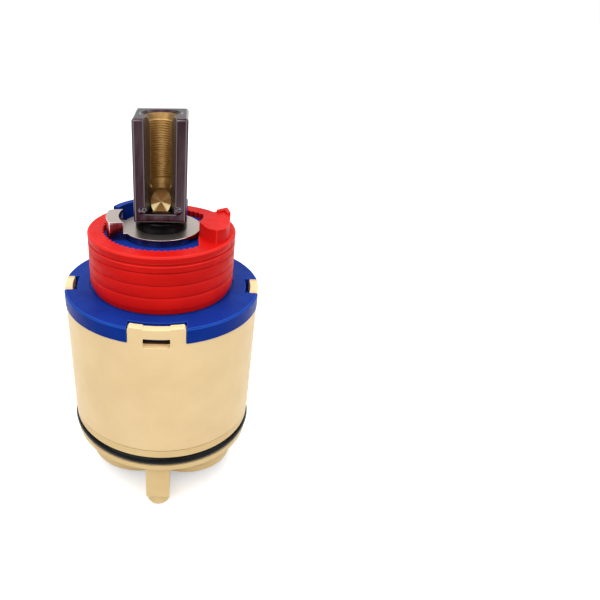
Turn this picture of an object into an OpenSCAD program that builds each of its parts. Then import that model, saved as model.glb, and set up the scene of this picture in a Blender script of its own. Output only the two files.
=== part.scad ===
// Pressure balance cartridge for a single-lever shower mixer.
// Origin: centre of the port face. +Z runs up the stem, -Y is the front, where the stem's slot is,
// and the balance spool lies along X.

/* [Overall] */
// Diameter of the cover flange that the bonnet nut clamps
flange_d = 47; // [43:0.5:58]
// Height of the bonnet seat above the port face
seat_z = 51.1; // [48:0.1:63]
// Thickness of the cover flange
flange_t = 3.7; // [3:0.1:4.8]

/* [Housing] */
// Step from the flange's edge in to the housing's wall
housing_step = 0.15; // [0.05:0.05:0.5]
// Wall of the housing
wall = 1.9; // [1.5:0.1:2.4]
// Width of the front and rear snap tabs
tab_w = 12.6; // [9:0.1:15]
// Width of the two side snap tabs
side_tab_w = 7; // [6.4:0.1:10]
// Angle by which the side tabs stand nearer to the front
side_tab_turn = 4.5; // [0:0.5:8]
// Width of the window in each snap tab
window_w = 5.8; // [3:0.1:6]
// Height of the window in each snap tab
window_h = 1; // [0.8:0.1:1.4]

/* [Base] */
// Height of the joint between base and housing
split_z = 16.85; // [16:0.05:18.5]
// Height of the rim's lower face above the port face
rim_z = 10.15; // [8.5:0.05:11.5]
// Cord diameter of the main seal
main_cord = 2.5; // [2:0.1:3]
// Distance of each boss lobe's centre from the axis
lobe_x = 6.55; // [5.8:0.05:7.4]
// Margin from the rim's edge to the boss lip
boss_margin = 3.5; // [2.9:0.1:4.4]
// Draft of the boss wall, from the lip's groove up to the rim
boss_draft = 1.35; // [0.8:0.05:1.6]
// Thickness of the boss lip
lip_t = 2; // [1.2:0.1:2.4]
// Depth of the crescent outlets behind the rim's face
outlet_depth = 6.5; // [5:0.1:7.5]

/* [Feet] */
// Width of the square foot blocks
foot_w = 6; // [5.4:0.1:7]
// Diameter of the locating pegs
peg_d = 5.7; // [4.5:0.1:6]
// Length of the locating pegs below the port face
peg_l = 3.5; // [2.5:0.1:6]
// Diameter of the blind hole in each peg
peg_hole_d = 2.6; // [1.5:0.1:3.2]

/* [Port seals] */
// Width of the D seals' cord
seal_w = 1.65; // [1.4:0.05:2]
// Depth of the D seals' grooves
seal_depth = 1.4; // [1:0.1:1.5]
// Height of the D seals above the port face
seal_over = 0.5; // [0.3:0.1:0.7]
// Distance from the middle of the web to the straight side of each seal
web_land = 1.05; // [0.8:0.05:1.4]
// Land between each seal and its port
port_land = 0.55; // [0.4:0.05:0.8]

/* [Balance unit] */
// Height of the spool's axis above the port face
balance_z = 4.7; // [4.65:0.05:5.4]
// Diameter of the spool's middle land, in the sleeve
spool_d = 4; // [3.6:0.1:4.1]
// Diameter of the spool's end pistons, in the caps
piston_d = 6.4; // [5:0.1:6.5]
// Diameter of the spool's waists
waist_d = 2.9; // [2:0.1:3.4]
// Travel of the spool each way
spool_travel = 1.5; // [1:0.1:1.8]
// Wall of the sleeve round the spool
sleeve_wall = 0.75; // [0.7:0.05:0.85]
// Wall of the domed caps
cap_wall = 1.25; // [0.9:0.05:1.25]
// Distance from the axis to the open end of each cap
cap_x = 7.4; // [6.9:0.1:8.4]

/* [Discs] */
// Thickness of each ceramic disc
disc_t = 4; // [3:0.1:5]
// Radius of the two inlet passages
inlet_r = 3.4; // [2.5:0.1:3.8]
// Radius of the two outlet passages
outlet_r = 2.9; // [2:0.1:3.2]

/* [Neck and limit ring] */
// Height of the neck above the bonnet seat
neck_h = 12.4; // [10:0.1:15]
// Radius at the roots of the neck's splines
neck_r = 12.95; // [12:0.05:13.4]
// Number of splines
splines = 60; // [40:2:72]
// Height of the splines
spline_h = 0.6; // [0.4:0.05:0.8]
// Outside radius of the limit ring
ring_r = 17.07; // [15.5:0.01:18]
// Height of the limit ring's top above the neck
ring_over = 1.2; // [0.8:0.1:2]
// Height of the stop wall, the stop tab and the limit block above the neck
stop_over = 4.3; // [3.4:0.1:5.2]
// Pitch of the ribs round the limit ring
rib_pitch = 2.9; // [2.2:0.1:3.6]
// Angle at which the stop wall starts
stop_from = 62; // [50:1:80]

/* [Stem] */
// Width of the square
stem_w = 11.5; // [10.5:0.1:12.5]
// Length of the square
stem_h = 22; // [16:0.5:30]
// Height of the square's lower end above the stop disc
stem_gap = 2.3; // [1.8:0.1:3.5]
// Diameter of the tapped hole at the roots of its thread
tap_d = 5; // [4.2:0.1:5.5]
// Width of the front slot where it opens the tapped hole
slot_w = 4.5; // [4.1:0.1:4.9]
// Width of the front slot at the face
slot_mouth_w = 6.6; // [5.6:0.1:7.4]
// Diameter of the round spindle
spindle_d = 9; // [8:0.1:9.4]
// Radius of the stop disc
stop_disc_r = 9.15; // [8.4:0.05:9.8]
// Thickness of the stop disc
stop_disc_t = 1.6; // [1.2:0.1:2]
// Angle that the stop tab covers at its outer face
tab_span = 40; // [20:1:46]

/* [Hidden] */
$fn = 96;
eps = 0.01;
slip = 0.05;
gap = 0.1;
tooth_gap = 0.15;
chamfer = 0.4;

// Radii from the flange inwards
flange_r = flange_d / 2;
body_r = flange_r - housing_step;
bore_r = body_r - wall;
rim_r = body_r - 0.15;
spigot_r = bore_r - slip;
recess_r = rim_r - 3.2;
gland_r = rim_r + 0.4 - main_cord;
well_r = spigot_r - 3.8;
bead_r = spigot_r + 0.35;
gland_z = split_z - 4.85;

// Boss, feet, D seals and ports
lip_r = rim_r - boss_margin - lobe_x;
boss_r = lip_r + 0.9;
boss_z = lip_t + 1.1;
root_r = boss_r + boss_draft;
groove_r = lip_r - 0.9;
foot_y = rim_r - 1;
peg_y = foot_y - peg_d / 2 - 0.35;
seal_r = lip_r - 1.85;
port_r = seal_r - seal_w - port_land;
web_x = web_land + seal_w + port_land;
port_wall_x = lobe_x + port_r;

// Stack of pieces below the bonnet seat
flange_z = seat_z - flange_t;
land_h = 0.3;
ring_z = seat_z - land_h;
hub_z = seat_z - 12;
glide_t = 0.8;
carrier_h = 6.7;
carrier_z = hub_z - glide_t - carrier_h;
moving_z = carrier_z - disc_t;
fixed_z = moving_z - disc_t;
skirt_z = carrier_z - 0.3;
port_roof = fixed_z - 7.1;
inlet_x = (web_x + port_wall_x) / 2;
fixed_r = well_r - 0.8;
outlet_y = fixed_r - outlet_r - 3.9;
moving_r = fixed_r - 1.6;
carrier_r = well_r - 1.2;
glide_in = neck_r + 0.65;
key_w = 3;
key_r = fixed_r - 0.8;
lug_w = 4;
lug_r = moving_r - 2.2;
lug_h = 2.4;

// Neck, ring and stops above the seat
neck_z = seat_z + neck_h;
hub_r = 7.2;
core_r = neck_r - 2;
roof_t = 2.5;
ring_top = neck_z + ring_over;
stop_z = neck_z + stop_over;
wall_in = neck_r - 1.75;
wall_out = neck_r - 0.1;
tab_out = neck_r - 0.35;
tab_mid = 186;
tab_gap = 11;
tab_half = tab_out * sin(tab_span / 2);
stop_face_x = stop_disc_r - 0.65;
stop_to = tab_mid - tab_span / 2 - tab_gap;

// Stem and spindle
stop_disc_z = neck_z + gap;
square_z = stop_disc_z + stop_disc_t + stem_gap;
stem_top = square_z + stem_h;
spindle_r = spindle_d / 2;
flat_x = spindle_r - 0.6;
throat_r = (stem_w - 2 * stem_gap) / 2 + 0.05;
slot_z = square_z + 2.3;
relief_r = tap_d / 2 + 0.3;
tap_end = square_z + 8.2;
relief_end = square_z + 4.1;
clip_t = 0.8;
clip_z = hub_z - 0.3 - clip_t;
clip_groove_r = spindle_r - 0.9;
clip_r = spindle_r + 1.7;
tang_t = 5;
tang_z = carrier_z + 1.2;
seal_groove_r = spindle_r - 1.1;
seal_h = 1.9;
spindle_seal_zs = [neck_z - 4, neck_z - 8];

// Balance unit
spool_r = spool_d / 2;
sleeve_r = spool_r + slip + sleeve_wall;
sleeve_x = web_x + 0.3;
piston_r = piston_d / 2;
cap_r = piston_r + slip + cap_wall;
cap_end = port_wall_x - 0.2;
cap_floor = cap_end - 2.2;
nib_r = 1.1;
spool_x = cap_floor - spool_travel - 0.3;
land_x = web_x - 0.45;

// Ring of rectangular section between two radii
module tube(r_out, r_in, h) {
    difference() {
        cylinder(r = r_out, h = h);
        translate([0, 0, -eps]) cylinder(r = r_in, h = h + 2 * eps);
    }
}

// Sector of a ring, from one angle to another
module arc_wall(r_in, r_out, from, to, h) {
    rotate([0, 0, from]) rotate_extrude(angle = to - from)
        translate([r_in, 0]) square([r_out - r_in, h]);
}

// Seal whose round cord is squeezed flat above and below
module seal_ring(r_in, r_out, h) {
    cord = (r_out - r_in) / 2;
    round_r = sqrt(pow(cord, 2) + pow(h / 2, 2)) * 0.93;
    rotate_extrude() translate([r_in + cord, 0]) intersection() {
        circle(r = round_r);
        square([2 * cord, h], center = true);
    }
}

// Outline of a D: a big circle cut by a straight side at side_x, with rounded corners that cross its arc by a hair
module d_outline(r, side_x, corner) {
    cx = side_x + corner;
    cy = sqrt(pow(r - corner + 2 * eps, 2) - pow(cx - lobe_x, 2));
    touch = lobe_x + (cx - lobe_x) * r / (r - corner);
    intersection() {
        translate([lobe_x, 0]) circle(r = r);
        translate([touch, -r]) square([2 * r, 2 * r]);
    }
    translate([side_x, -cy]) square([corner + eps, 2 * cy]);
    for (s = [-1, 1]) translate([cx, s * cy]) circle(r = corner);
}

// Outline of the boss: two lobes side by side
module lobes(r) {
    for (s = [-1, 1]) translate([s * lobe_x, 0]) circle(r = r);
}

// Triangle wave round a circle, for the splines of the neck and of the ring
function splined(r) = [for (i = [0 : 2 * splines - 1])
    let (a = i * 180 / splines, d = r + (i % 2) * spline_h) [d * cos(a), d * sin(a)]];

// Copies a child to the four snap tabs: turn about the axis and width
module at_tabs() {
    for (t = [[0, tab_w], [180, tab_w], [90 - side_tab_turn, side_tab_w], [270 + side_tab_turn, side_tab_w]])
        rotate([0, 0, t[0]]) {
            $tab_width = t[1];
            children();
        }
}

// HOUSING

// Outline of a snap tab as the front shows it, with its upper corners cut off
module tab_shape(margin) {
    half = $tab_width / 2 + margin;
    top = seat_z + 0.2;
    translate([0, 5 - bore_r, 0]) rotate([90, 0, 0]) linear_extrude(10) polygon([
        [-half, flange_z - 1], [half, flange_z - 1], [half, top - 0.7 + margin], [half - 0.5, top + margin],
        [0.5 - half, top + margin], [-half, top - 0.7 + margin]]);
}

module snap_window() {
    window_z = flange_z + 0.3;
    translate([-window_w / 2, -flange_r - 1, window_z]) cube([window_w, wall + 3, window_h]);
    translate([-window_w / 2, -body_r, window_z + 0.1]) rotate([55, 0, 0]) translate([0, -2, -2])
        cube([window_w, 2, 2]);
    translate([-window_w / 2, -flange_r - 1, seat_z - 0.02]) cube([window_w, wall + 3, 1]);
}

module housing() {
    color("wheat") difference() {
        translate([0, 0, split_z]) rotate_extrude() polygon([
            [bore_r, 0], [body_r - 0.25, 0], [body_r, 0.25],
            [body_r, seat_z + 0.2 - split_z], [bore_r, seat_z + 0.2 - split_z]]);
        difference() {
            translate([0, 0, flange_z]) tube(flange_r + 1, bore_r - 1, flange_t + 1);
            at_tabs() tab_shape(0);
        }
        translate([0, 0, split_z + 2.6]) rotate_extrude() polygon([
            [bore_r - 1, 0], [bore_r, 0], [bead_r + slip, 0.4],
            [bead_r + slip, 1.6], [bore_r, 2.4], [bore_r - 1, 2.4]]);
        at_tabs() snap_window();
    }
}

// BASE

module rim() {
    translate([0, 0, rim_z]) rotate_extrude() polygon([
        [0, 0], [rim_r - chamfer, 0], [rim_r, chamfer],
        [rim_r, split_z - rim_z], [0, split_z - rim_z]]);
}

module boss() {
    linear_extrude(lip_t) lobes(lip_r);
    linear_extrude(rim_z + 1) lobes(groove_r);
    for (s = [-1, 1]) translate([s * lobe_x, 0, boss_z])
        cylinder(r1 = boss_r, r2 = root_r, h = rim_z - boss_z + eps);
}

module foot() {
    translate([-foot_w / 2, -foot_y, 0]) cube([foot_w, foot_y - groove_r + 2, split_z - 1]);
    translate([0, -peg_y, 0]) rotate([180, 0, 0]) {
        cylinder(r = peg_d / 2, h = peg_l - 0.5);
        translate([0, 0, peg_l - 0.5]) cylinder(r1 = peg_d / 2, r2 = peg_d / 2 - 0.5, h = 0.5);
    }
}

module peg_hole() {
    translate([0, -peg_y, -peg_l - eps]) cylinder(r = peg_hole_d / 2, h = peg_l - 1);
}

// One of the two D ports, with its seal groove, its cap's seat and its way up to the discs
module port_cuts() {
    translate([0, 0, -eps]) linear_extrude(seal_depth + eps) difference() {
        d_outline(seal_r + slip, web_land - slip, 2);
        d_outline(seal_r - seal_w - slip, web_land + seal_w + slip, 1);
    }
    translate([0, 0, -eps]) linear_extrude(port_roof) d_outline(port_r, web_x, 0.5);
    translate([inlet_x, 0, port_roof - 1]) cylinder(r = inlet_r, h = fixed_z - port_roof + 2);
    translate([port_wall_x - 1, 0, balance_z]) rotate([0, 90, 0]) cylinder(r = nib_r + slip, h = 2.3);
}

// Crescent outlets on both sides of one foot, and their gallery up to the discs
module outlet_cuts() {
    roof = rim_z + outlet_depth;
    difference() {
        translate([-recess_r, -recess_r - 1, rim_z - 1]) cube([2 * recess_r, recess_r - 1, outlet_depth + 1]);
        translate([0, 0, rim_z - 2]) tube(flange_r + 3, recess_r, outlet_depth + 4);
        translate([0, 0, rim_z - 2]) linear_extrude(outlet_depth + 4) lobes(root_r);
        translate([-foot_w / 2, -flange_r, rim_z - 2]) cube([foot_w, flange_r, outlet_depth + 4]);
    }
    translate([0, -outlet_y, roof - 3.2]) cylinder(r = outlet_r, h = fixed_z - roof + 4);
    for (a = [-42, 42]) translate([0, -outlet_y, roof - 2.9]) rotate([0, 0, a])
        translate([-1.75, -(recess_r - outlet_y) - 0.8, 0]) cube([3.5, recess_r - outlet_y + 0.8, 2.5]);
}

module base() {
    color("wheat") difference() {
        union() {
            rim();
            boss();
            for (a = [0, 180]) rotate([0, 0, a]) foot();
            translate([0, 0, split_z - eps]) cylinder(r = spigot_r, h = fixed_z - split_z + eps);
            translate([0, 0, fixed_z]) tube(spigot_r, well_r, skirt_z - fixed_z);
            for (a = [0, 180]) rotate([0, 0, a])
                translate([key_r, -key_w / 2, fixed_z - 1]) cube([well_r - key_r + 1, key_w, disc_t]);
            translate([0, 0, split_z + 2.75]) rotate_extrude() polygon([
                [spigot_r - 1, 0], [spigot_r, 0], [bead_r, 0.4], [bead_r, 1.3], [spigot_r, 2.1], [spigot_r - 1, 2.1]]);
        }
        translate([0, 0, gland_z]) tube(flange_r + 2, gland_r, main_cord + 0.3);
        for (s = [0, 1]) mirror([s, 0, 0]) port_cuts();
        for (a = [0, 180]) rotate([0, 0, a]) {
            peg_hole();
            outlet_cuts();
        }
        translate([-port_wall_x, 0, balance_z]) rotate([0, 90, 0])
            translate([0, 0, port_wall_x - web_x - 1]) cylinder(r = sleeve_r + slip, h = 2 * web_x + 2);
        for (p = disc_ports()) translate([p[0], p[1], fixed_z - 1.4]) cylinder(r = p[2] + 1.5, h = 3);
    }
}

// Centres and radii of the four passages under the fixed disc
function disc_ports() = [[inlet_x, 0, inlet_r], [-inlet_x, 0, inlet_r],
                         [0, outlet_y, outlet_r], [0, -outlet_y, outlet_r]];

// COVER

module flange() {
    translate([0, 0, flange_z]) rotate_extrude() polygon([
        [0, 0], [flange_r, 0], [flange_r, flange_t - 0.3], [flange_r - 0.3, flange_t],
        [ring_r + 0.35, flange_t], [ring_r + 0.35, flange_t - land_h], [0, flange_t - land_h]]);
}

module tab_notch() {
    width = $tab_width + 2 * gap;
    difference() {
        translate([-width / 2, -flange_r - 1, flange_z - 1]) cube([width, 8, flange_t + 2]);
        cylinder(r = bore_r - 1.1, h = seat_z + 5);
    }
}

module snap_lug() {
    translate([-window_w / 2 + 0.3, -bore_r - 0.7, flange_z + 0.4]) cube([window_w - 0.6, 3.5, window_h - 0.2]);
}

module cover() {
    color("mediumblue") difference() {
        union() {
            difference() {
                union() {
                    flange();
                    translate([0, 0, skirt_z]) cylinder(r = bore_r - slip, h = flange_z - skirt_z + eps);
                }
                at_tabs() tab_notch();
            }
            translate([0, 0, ring_z - 1]) linear_extrude(neck_z - ring_z + 1) polygon(splined(neck_r));
            translate([0, 0, neck_z - eps]) arc_wall(wall_in, wall_out, stop_from, stop_to, stop_z - neck_z + eps);
            at_tabs() snap_lug();
        }
        translate([0, 0, skirt_z - 1]) cylinder(r = well_r, h = hub_z - skirt_z + 1);
        translate([0, 0, skirt_z - 1]) cylinder(r = spindle_r + slip, h = seat_z);
        difference() {
            translate([0, 0, hub_z - eps]) tube(core_r, hub_r, neck_z - roof_t - hub_z);
            for (a = [0 : 60 : 300]) rotate([0, 0, a])
                translate([hub_r - 1, -0.8, hub_z - 1]) cube([core_r - hub_r + 2, 1.6, neck_z]);
        }
        translate([0, 0, hub_z + 3]) tube(bore_r + 1, bore_r - 1.6, 2.2);
    }
}

module cover_seal() {
    color("black") translate([0, 0, hub_z + 4.1]) seal_ring(bore_r - 1.6, bore_r - slip, 2);
}

// LIMIT RING

// Half section of the ring: shallow ribs all the way round between an undercut foot and a plain band at the top
module ring_section() {
    h = ring_top - ring_z;
    band_z = h - 2.1;
    collar_z = band_z - 1.8;
    ribs = floor((collar_z - 0.8) / rib_pitch);
    foot_top = collar_z - ribs * rib_pitch;
    polygon(concat(
        [[neck_r + tooth_gap - 0.5, 0], [ring_r - 0.7, 0]],
        [for (i = [0 : ribs - 1]) each [
            [ring_r - 0.15, foot_top + i * rib_pitch],
            [ring_r, foot_top + i * rib_pitch + 0.5],
            [ring_r, foot_top + (i + 1) * rib_pitch - 0.5]]],
        [[ring_r - 0.15, collar_z], [ring_r, collar_z + 0.4], [ring_r, band_z - 0.15],
         [ring_r - 0.35, band_z], [ring_r - 0.35, band_z + 0.2], [ring_r, band_z + 0.5],
         [ring_r, h - 0.3], [ring_r - 0.3, h], [neck_r + tooth_gap - 0.5, h]]));
}

// Hot-limit block: a web over the neck, level with the ring's top, and the block on it with its raised rear edge
module limit_block() {
    inner = stop_disc_r + 0.4;
    web_z = neck_z + 0.2;
    difference() {
        union() {
            translate([0, 0, web_z]) linear_extrude(ring_top - web_z) intersection() {
                circle(r = ring_r - 1);
                translate([stop_face_x, 0.5 - neck_r + 2]) square([ring_r, neck_r + 2.5]);
            }
            translate([0, 0, web_z]) linear_extrude(stop_z - web_z) polygon([
                [stop_face_x, 0.4], [stop_face_x, -2], [stop_face_x + 0.15, -4.4], [stop_face_x + 1.8, -8],
                [ring_r - 4.8, -9.2], [ring_r - 3, -8.2], [ring_r - 1.9, -5.5], [ring_r - 1.3, 0.9],
                [ring_r - 1.9, 4.4], [ring_r - 4.5, 2.7]]);
            translate([0, 0, stop_z - eps]) linear_extrude(0.5) polygon([
                [ring_r - 4.5, 2.7], [ring_r - 4.3, 1.5], [ring_r - 2.7, 2.6], [ring_r - 2.2, 0.6],
                [ring_r - 1.3, 0.9], [ring_r - 1.9, 4.4]]);
        }
        cylinder(r = inner, h = stop_z + 5);
    }
}

module limit_ring() {
    color("red") {
        difference() {
            translate([0, 0, ring_z]) rotate_extrude() ring_section();
            translate([0, 0, ring_z - 1]) linear_extrude(ring_top - ring_z + 2) polygon(splined(neck_r + tooth_gap));
        }
        limit_block();
    }
}

// STEM

module square_stem() {
    half = stem_w / 2;
    translate([0, 0, square_z]) difference() {
        linear_extrude(stem_h) polygon([for (q = [0 : 3]) each [
            let (a = q * 90) [half * cos(a) - (half - chamfer) * sin(a), half * sin(a) + (half - chamfer) * cos(a)],
            let (a = q * 90 + 90) [half * cos(a) + (half - chamfer) * sin(a), half * sin(a) - (half - chamfer) * cos(a)]]]);
        for (a = [0 : 90 : 270]) rotate([0, 0, a]) {
            translate([half, 0, stem_h]) rotate([0, 45, 0]) cube([0.65, stem_w + 1, 0.65], center = true);
            translate([half, 0, 0]) rotate([0, 45, 0]) cube([0.9, stem_w + 1, 0.9], center = true);
        }
    }
}

module tapped_hole() {
    tap_r = tap_d / 2;
    translate([0, 0, tap_end]) cylinder(r = tap_r, h = stem_top - tap_end + 1);
    translate([0, 0, relief_end]) cylinder(r = relief_r, h = tap_end - relief_end - 0.4);
    translate([0, 0, tap_end - 0.4]) cylinder(r1 = relief_r, r2 = tap_r, h = 0.4 + eps);
    translate([0, 0, relief_end - relief_r * 0.6]) cylinder(r1 = 0, r2 = relief_r, h = relief_r * 0.6 + eps);
    translate([0, 0, stem_top - 1.8]) cylinder(r1 = tap_r, r2 = tap_r + 1.3, h = 1.3 + eps);
    translate([0, 0, stem_top - 0.5]) cylinder(r1 = tap_r + 1.3, r2 = tap_r + 2, h = 0.5 + eps);
}

module front_slot() {
    half = stem_w / 2;
    deep = sqrt(pow(tap_d / 2, 2) - pow(slot_w / 2, 2)) + 0.7;
    translate([0, 0, slot_z]) linear_extrude(stem_h) polygon([
        [-slot_mouth_w / 2, -half - 1], [slot_mouth_w / 2, -half - 1], [slot_mouth_w / 2, -half],
        [slot_w / 2, -deep], [slot_w / 2, 0], [-slot_w / 2, 0], [-slot_w / 2, -deep], [-slot_mouth_w / 2, -half]]);
}

module stem() {
    color("silver") {
        difference() {
            union() {
                square_stem();
                translate([0, 0, stop_disc_z + stop_disc_t - eps]) cylinder(r = throat_r, h = stem_gap + 2 * eps);
            }
            tapped_hole();
            front_slot();
        }
        difference() {
            translate([0, 0, tang_z]) cylinder(r = spindle_r, h = stop_disc_z + stop_disc_t - tang_z);
            for (z = spindle_seal_zs) translate([0, 0, z - seal_h / 2 - gap])
                tube(spindle_r + 1, seal_groove_r, seal_h + 2 * gap);
            translate([0, 0, clip_z - gap]) tube(spindle_r + 1, clip_groove_r, clip_t + 2 * gap);
            for (s = [-1, 1]) {
                translate([s * (flat_x + 5), 0, stop_disc_z + 4.9]) cube([10, 20, 10], center = true);
                translate([0, s * (tang_t / 2 + 5), tang_z - 5 + clip_z - gap - tang_z])
                    cube([20, 10, 10], center = true);
            }
        }
    }
}

module stem_o_ring() {
    color("black") translate([0, 0, square_z - stem_gap / 2])
        seal_ring(throat_r + slip, stem_w / 2 + 0.15, stem_gap - gap);
}

module spindle_seals() {
    color("black") for (z = spindle_seal_zs) translate([0, 0, z]) seal_ring(seal_groove_r + slip, spindle_r, seal_h);
}

// Outline of the stop tab: part of a ring, with parallel sides
module tab_outline(r_in) {
    intersection() {
        difference() {
            circle(r = tab_out);
            circle(r = r_in);
        }
        rotate([0, 0, tab_mid]) translate([0, -tab_half]) square([2 * tab_out, 2 * tab_half]);
    }
}

module stop_disc() {
    color("silver") translate([0, 0, stop_disc_z]) difference() {
        union() {
            cylinder(r = stop_disc_r, h = stop_disc_t);
            linear_extrude(stop_disc_t) tab_outline(stop_disc_r - 1);
            linear_extrude(stop_z - stop_disc_z) tab_outline(stop_disc_r + 0.5);
        }
        intersection() {
            translate([0, 0, -1]) cylinder(r = spindle_r + slip, h = stop_disc_t + 2);
            cube([2 * (flat_x + slip), stem_w, 20], center = true);
        }
    }
}

module retaining_clip() {
    color("gray") translate([0, 0, clip_z]) difference() {
        cylinder(r = clip_r, h = clip_t);
        translate([0, 0, -1]) cylinder(r = clip_groove_r + slip, h = clip_t + 2);
        translate([0, -clip_groove_r * 0.8, -1]) cube([clip_r + 1, 2 * clip_groove_r * 0.8, clip_t + 2]);
    }
}

// INNER STACK

module glide_washer() {
    color("white") translate([0, 0, hub_z - glide_t]) tube(carrier_r - 0.2, glide_in, glide_t);
}

module drive_carrier() {
    hub_h = clip_z - gap - 0.5 - carrier_z;
    color("ivory") difference() {
        union() {
            translate([0, 0, carrier_z]) {
                cylinder(r = carrier_r, h = 3);
                tube(carrier_r, glide_in - 0.3, carrier_h);
                cylinder(r = hub_r + 0.3, h = hub_h);
                for (a = [0 : 60 : 300]) rotate([0, 0, a])
                    translate([hub_r - 0.5, -0.8, 0]) cube([glide_in - hub_r + 1, 1.6, hub_h]);
            }
            for (a = [0, 180]) rotate([0, 0, a])
                translate([lug_r + gap, -lug_w / 2, carrier_z - lug_h]) cube([moving_r - lug_r - 0.3, lug_w, lug_h + 1]);
        }
        translate([-spindle_r - gap, -tang_t / 2 - gap, tang_z - gap]) cube([2 * (spindle_r + gap), tang_t + 2 * gap, 20]);
    }
}

module moving_disc() {
    chamber_h = 2.2;
    color("white") difference() {
        translate([0, 0, moving_z]) cylinder(r = moving_r, h = disc_t);
        for (a = [0, 180]) rotate([0, 0, a])
            translate([lug_r, -lug_w / 2 - gap, moving_z + disc_t - lug_h - gap]) cube([moving_r, lug_w + 2 * gap, disc_t]);
        translate([0, 0, moving_z - eps]) {
            cylinder(r = outlet_y - outlet_r + 1, h = chamber_h);
            arc_wall(outlet_y - outlet_r, outlet_y + outlet_r, 20, 160, chamber_h);
        }
    }
}

module fixed_disc() {
    color("white") difference() {
        translate([0, 0, fixed_z]) cylinder(r = fixed_r, h = disc_t);
        for (p = disc_ports()) translate([p[0], p[1], fixed_z - 1]) cylinder(r = p[2], h = disc_t + 2);
        for (a = [0, 180]) rotate([0, 0, a])
            translate([key_r - gap, -key_w / 2 - gap, fixed_z - 1]) cube([3, key_w + 2 * gap, disc_t + 2]);
    }
}

module disc_seals() {
    color("black") for (p = disc_ports())
        translate([p[0], p[1], fixed_z - 0.7]) seal_ring(p[2] + slip, p[2] + 1.5 - slip, 1.4);
}

// SEALS OUTSIDE

module main_seal() {
    color("black") translate([0, 0, gland_z + main_cord / 2 + 0.15]) rotate_extrude()
        translate([gland_r + slip + main_cord / 2, 0]) circle(r = main_cord / 2);
}

module port_seal() {
    round_h = 0.35;
    for (layer = [[-seal_over, round_h, 0.35], [round_h - seal_over, seal_over + seal_depth - round_h, 0]])
        translate([0, 0, layer[0]]) linear_extrude(layer[1]) difference() {
            d_outline(seal_r - layer[2], web_land + layer[2], 2);
            d_outline(seal_r - seal_w + layer[2], web_land + seal_w - layer[2], 1);
        }
}

module port_seal_right() {
    color("black") port_seal();
}

module port_seal_left() {
    color("black") mirror([1, 0, 0]) port_seal();
}

// BALANCE UNIT

module along_x() {
    translate([0, 0, balance_z]) rotate([0, 90, 0]) children();
}

module balance_sleeve() {
    color("gainsboro") along_x() difference() {
        translate([0, 0, -sleeve_x]) cylinder(r = sleeve_r, h = 2 * sleeve_x);
        translate([0, 0, -sleeve_x - 1]) cylinder(r = spool_r + slip, h = 2 * sleeve_x + 2);
        for (s = [-1, 1]) translate([0, 0, s * 1.7 - 0.6]) tube(sleeve_r + 1, sleeve_r - 0.45, 1.2);
    }
}

module sleeve_seals() {
    color("black") along_x() for (s = [-1, 1])
        translate([0, 0, s * 1.7]) seal_ring(sleeve_r - 0.45, sleeve_r + slip, 1.1);
}

module balance_spool() {
    color("silver") along_x() {
        translate([0, 0, -land_x]) cylinder(r = spool_r, h = 2 * land_x);
        translate([0, 0, -spool_x + 0.5]) cylinder(r = waist_d / 2, h = 2 * spool_x - 1);
        for (s = [0, 1]) mirror([0, 0, s]) translate([0, 0, cap_x + 0.3]) cylinder(r = piston_r, h = spool_x - cap_x - 0.3);
    }
}

module balance_cap() {
    along_x() difference() {
        union() {
            translate([0, 0, cap_x]) cylinder(r = cap_r, h = cap_end - cap_r - cap_x);
            translate([0, 0, cap_end - cap_r]) intersection() {
                sphere(r = cap_r);
                translate([0, 0, -eps]) cylinder(r = cap_r + 1, h = cap_r + 1);
            }
            translate([0, 0, cap_end - 1]) cylinder(r = nib_r, h = 2.1);
        }
        translate([0, 0, cap_x - 1]) cylinder(r = piston_r + slip, h = cap_floor - cap_x + 1);
    }
}

module balance_cap_right() {
    color("wheat") balance_cap();
}

module balance_cap_left() {
    color("wheat") mirror([1, 0, 0]) balance_cap();
}

housing();
base();
cover();
limit_ring();
stem();
stem_o_ring();
spindle_seals();
stop_disc();
retaining_clip();
glide_washer();
drive_carrier();
moving_disc();
fixed_disc();
disc_seals();
cover_seal();
main_seal();
port_seal_left();
port_seal_right();
balance_sleeve();
sleeve_seals();
balance_spool();
balance_cap_left();
balance_cap_right();
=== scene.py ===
"""Looks of a pressure balance cartridge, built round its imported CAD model.

Every length in this file is in metres, unless its name says otherwise, and every place is in the frame of
the CAD model: +Z runs up the stem and -Y is the front, where the stem's slot is.
"""

import logging
import math
from collections.abc import Callable, Iterable
from dataclasses import dataclass, replace
from enum import Enum, IntEnum

import bmesh
import bpy
from mathutils import Matrix, Vector


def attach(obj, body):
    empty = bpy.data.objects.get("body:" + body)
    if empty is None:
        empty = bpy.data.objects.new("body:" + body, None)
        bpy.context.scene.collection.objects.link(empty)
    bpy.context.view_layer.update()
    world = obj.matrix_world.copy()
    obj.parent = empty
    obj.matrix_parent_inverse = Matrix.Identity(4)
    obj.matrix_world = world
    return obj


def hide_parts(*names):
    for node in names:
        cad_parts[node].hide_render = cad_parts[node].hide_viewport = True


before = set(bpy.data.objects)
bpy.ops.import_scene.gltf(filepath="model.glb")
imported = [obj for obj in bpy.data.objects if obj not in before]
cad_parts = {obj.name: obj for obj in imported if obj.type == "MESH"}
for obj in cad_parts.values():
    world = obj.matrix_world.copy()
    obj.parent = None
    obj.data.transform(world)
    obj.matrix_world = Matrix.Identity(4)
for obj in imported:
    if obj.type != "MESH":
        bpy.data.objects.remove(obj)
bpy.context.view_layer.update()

MM = 0.001
LOG = logging.getLogger("cartridge")

# Edge layer that holds each edge's Corner
CORNER_KIND = "corner_kind"
# Face corner layer that is 1 on broken corners, which the finishes read to paint a highlight there
CORNER_LAYER = "corner"
# Vertices of a CAD node that are nearer than this are one
SAME_SPOT = 0.001 * MM
# Faces of a CAD node that meet at less than this are one flat face
FLAT = math.radians(0.3)
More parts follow.
